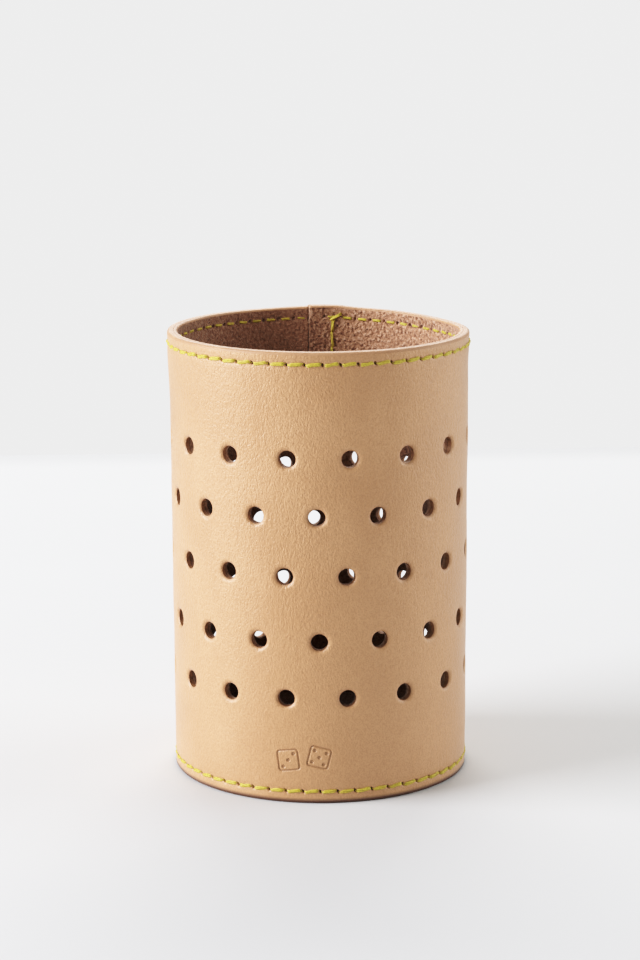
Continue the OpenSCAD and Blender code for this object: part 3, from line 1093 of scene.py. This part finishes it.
def waxed_thread():
    """Waxed yellow-green thread: fine fibres along the plies and a dull gleam."""
    n = Nodes("waxed_thread")
    fibres = n.noise(n.even(2600), detail=3, distortion=0.5)
    dirt = n.noise(n.even(180), detail=2)
    base = n.mix(n.remap(fibres, 0.3, 0.7), THREAD_DARK, THREAD_LIGHT)
    base = n.mix(n.remap(dirt, 0.5, 0.75, 0.0, 0.4), base, THREAD_DIRT)
    return n.finish(base, 0.5, n.bump(fibres, 0.00006, 0.7))


# The table top's far edge, where it crosses x = 0, its slope, and how far the top reaches, in metres
TABLE_END = 0.41
TABLE_SKEW = 0.065
TABLE_REACH = 2.0
# Width of the strip of painted shade along the far edge
EDGE_SHADE_WIDTH = 0.03


def floor_paint():
    """Plain pale matte table top, with a strip of painted shade along its far edge."""
    n = Nodes("floor_paint")
    haze = n.noise(n.even(6), detail=2)
    base = n.mix(n.remap(haze, 0.3, 0.7), TABLE_DARK, TABLE_LIGHT)
    near_edge = n.add("ShaderNodeVectorMath", operation="DOT_PRODUCT")
    n.link(n.place, near_edge.inputs[0])
    near_edge.inputs[1].default_value = (-TABLE_SKEW, 1, 0)
    # Painted shade in a strip along the table's far edge
    edge_shade = n.remap(near_edge.outputs["Value"], TABLE_END - EDGE_SHADE_WIDTH, TABLE_END, 0.0, 0.4)
    base = n.mix(edge_shade, base, TABLE_EDGE_SHADE)
    return n.finish(base, 0.8, n.bump(haze, 0.0001, 0.1), specular=0.2)


# ---------------------------------------------------------------- stage, lights and camera


LIGHT_SIDE = 1.0
CUP_MIDDLE = (0, 0, CUP_H / 2 * MM)


def make_stage():
    """A pale table top whose far edge shows as a faint line of painted shade against the light wall
    behind.
    """
    mesh = bpy.data.meshes.new("table_top")
    far = TABLE_SKEW * TABLE_REACH
    corners = [(-TABLE_REACH, -TABLE_REACH, 0), (TABLE_REACH, -TABLE_REACH, 0),
               (TABLE_REACH, TABLE_END + far, 0), (-TABLE_REACH, TABLE_END - far, 0)]
    mesh.from_pydata(corners, [], [(0, 1, 2, 3)])
    mesh.materials.append(floor_paint())
    table = bpy.data.objects.new("table_top", mesh)
    bpy.context.scene.collection.objects.link(table)


def soft_light(name, place, power, colour):
    """A square light of so many watts that faces the cup's middle."""
    data = bpy.data.lights.new(name, "AREA")
    data.size = LIGHT_SIDE
    data.energy = power
    data.color = colour
    light = bpy.data.objects.new(name, data)
    light.location = place
    light.rotation_euler = (Vector(CUP_MIDDLE) - Vector(place)).to_track_quat("-Z", "Y").to_euler()
    bpy.context.scene.collection.objects.link(light)


def light_place(turn, rise, away):
    """A point round the cup: degrees from the front to the right, degrees up, and metres away."""
    turn, rise = math.radians(turn), math.radians(rise)
    return (
        away * math.sin(turn) * math.cos(rise),
        -away * math.cos(turn) * math.cos(rise),
        away * math.sin(rise) + CUP_MIDDLE[2],
    )


def make_lights():
    """A window low on the left, a weak one on the right and a faint one behind."""
    soft_light("window", light_place(turn=-76, rise=23, away=1.6), 26.5, (0.98, 1, 1.07))
    soft_light("right", light_place(turn=100, rise=18, away=1.6), 7.5, (1, 1, 1))
    soft_light("behind", light_place(turn=180, rise=35, away=1.4), 9, (1, 1, 1))


WORLD_SEEN = 0.65
WORLD_LIGHTING = 0.31


def make_world():
    """Even pale surroundings: the camera sees them brighter than they light the cup."""
    world = bpy.data.worlds.new("surroundings")
    bpy.context.scene.world = world
    world.use_nodes = True
    tree = world.node_tree
    tree.nodes.clear()
    output = tree.nodes.new("ShaderNodeOutputWorld")
    path = tree.nodes.new("ShaderNodeLightPath")
    seen = tree.nodes.new("ShaderNodeBackground")
    lighting = tree.nodes.new("ShaderNodeBackground")
    choose = tree.nodes.new("ShaderNodeMixShader")
    seen.inputs["Color"].default_value = rgb(WORLD_SEEN, WORLD_SEEN, WORLD_SEEN)
    lighting.inputs["Color"].default_value = rgb(1, 1, 1)
    lighting.inputs["Strength"].default_value = WORLD_LIGHTING
    tree.links.new(path.outputs["Is Camera Ray"], choose.inputs["Fac"])
    tree.links.new(lighting.outputs["Background"], choose.inputs[1])
    tree.links.new(seen.outputs["Background"], choose.inputs[2])
    tree.links.new(choose.outputs["Shader"], output.inputs["Surface"])


SOFTNESS = 3.0
STEEPNESS = 1.6
COMBINED_CURVE = 3


def develop():
    """The photo's own contrast: steep in the middle, with a soft shoulder under white."""
    view = bpy.context.scene.view_settings
    view.view_transform = "Standard"
    view.use_curve_mapping = True
    curve = view.curve_mapping.curves[COMBINED_CURVE]
    for bright in (0.05, 0.1, 0.2, 0.3, 0.45, 0.6, 0.8):
        shoulder = (1 - math.exp(-SOFTNESS * bright)) / (1 - math.exp(-SOFTNESS))
        curve.points.new(bright, shoulder**STEEPNESS)
    view.curve_mapping.update()


# The camera, in metres, with its lens and sensor in mm and its look down in degrees
CAMERA_PLACE = (0.0002, -0.6904, 0.2203)
CAMERA_LENS = 102.8
CAMERA_SENSOR = 36
CAMERA_LOOK_DOWN = 11.92


def make_camera():
    camera = bpy.data.objects.new("camera", bpy.data.cameras.new("camera"))
    camera.data.sensor_width = CAMERA_SENSOR
    camera.data.lens = CAMERA_LENS
    camera.data.clip_end = 20
    camera.location = CAMERA_PLACE
    camera.rotation_euler = (math.radians(90 - CAMERA_LOOK_DOWN), 0, 0)
    bpy.context.scene.collection.objects.link(camera)
    bpy.context.scene.camera = camera


# ---------------------------------------------------------------- the cup

edge = cut_leather()
back = leather_back()
rim = painted_rim()
nap_suede = suede()

# Materials in the order of the face kinds: FACE, CUT_EDGE, BACK, RIM
make_outer_sleeve([grain_leather(), edge, back, rim])
make_lining([nap_suede, suede_edge(), back, rim])
make_base([base_leather(), edge])
make_floor([nap_suede])
make_threads(waxed_thread())

make_stage()
make_lights()
make_world()
make_camera()
develop()
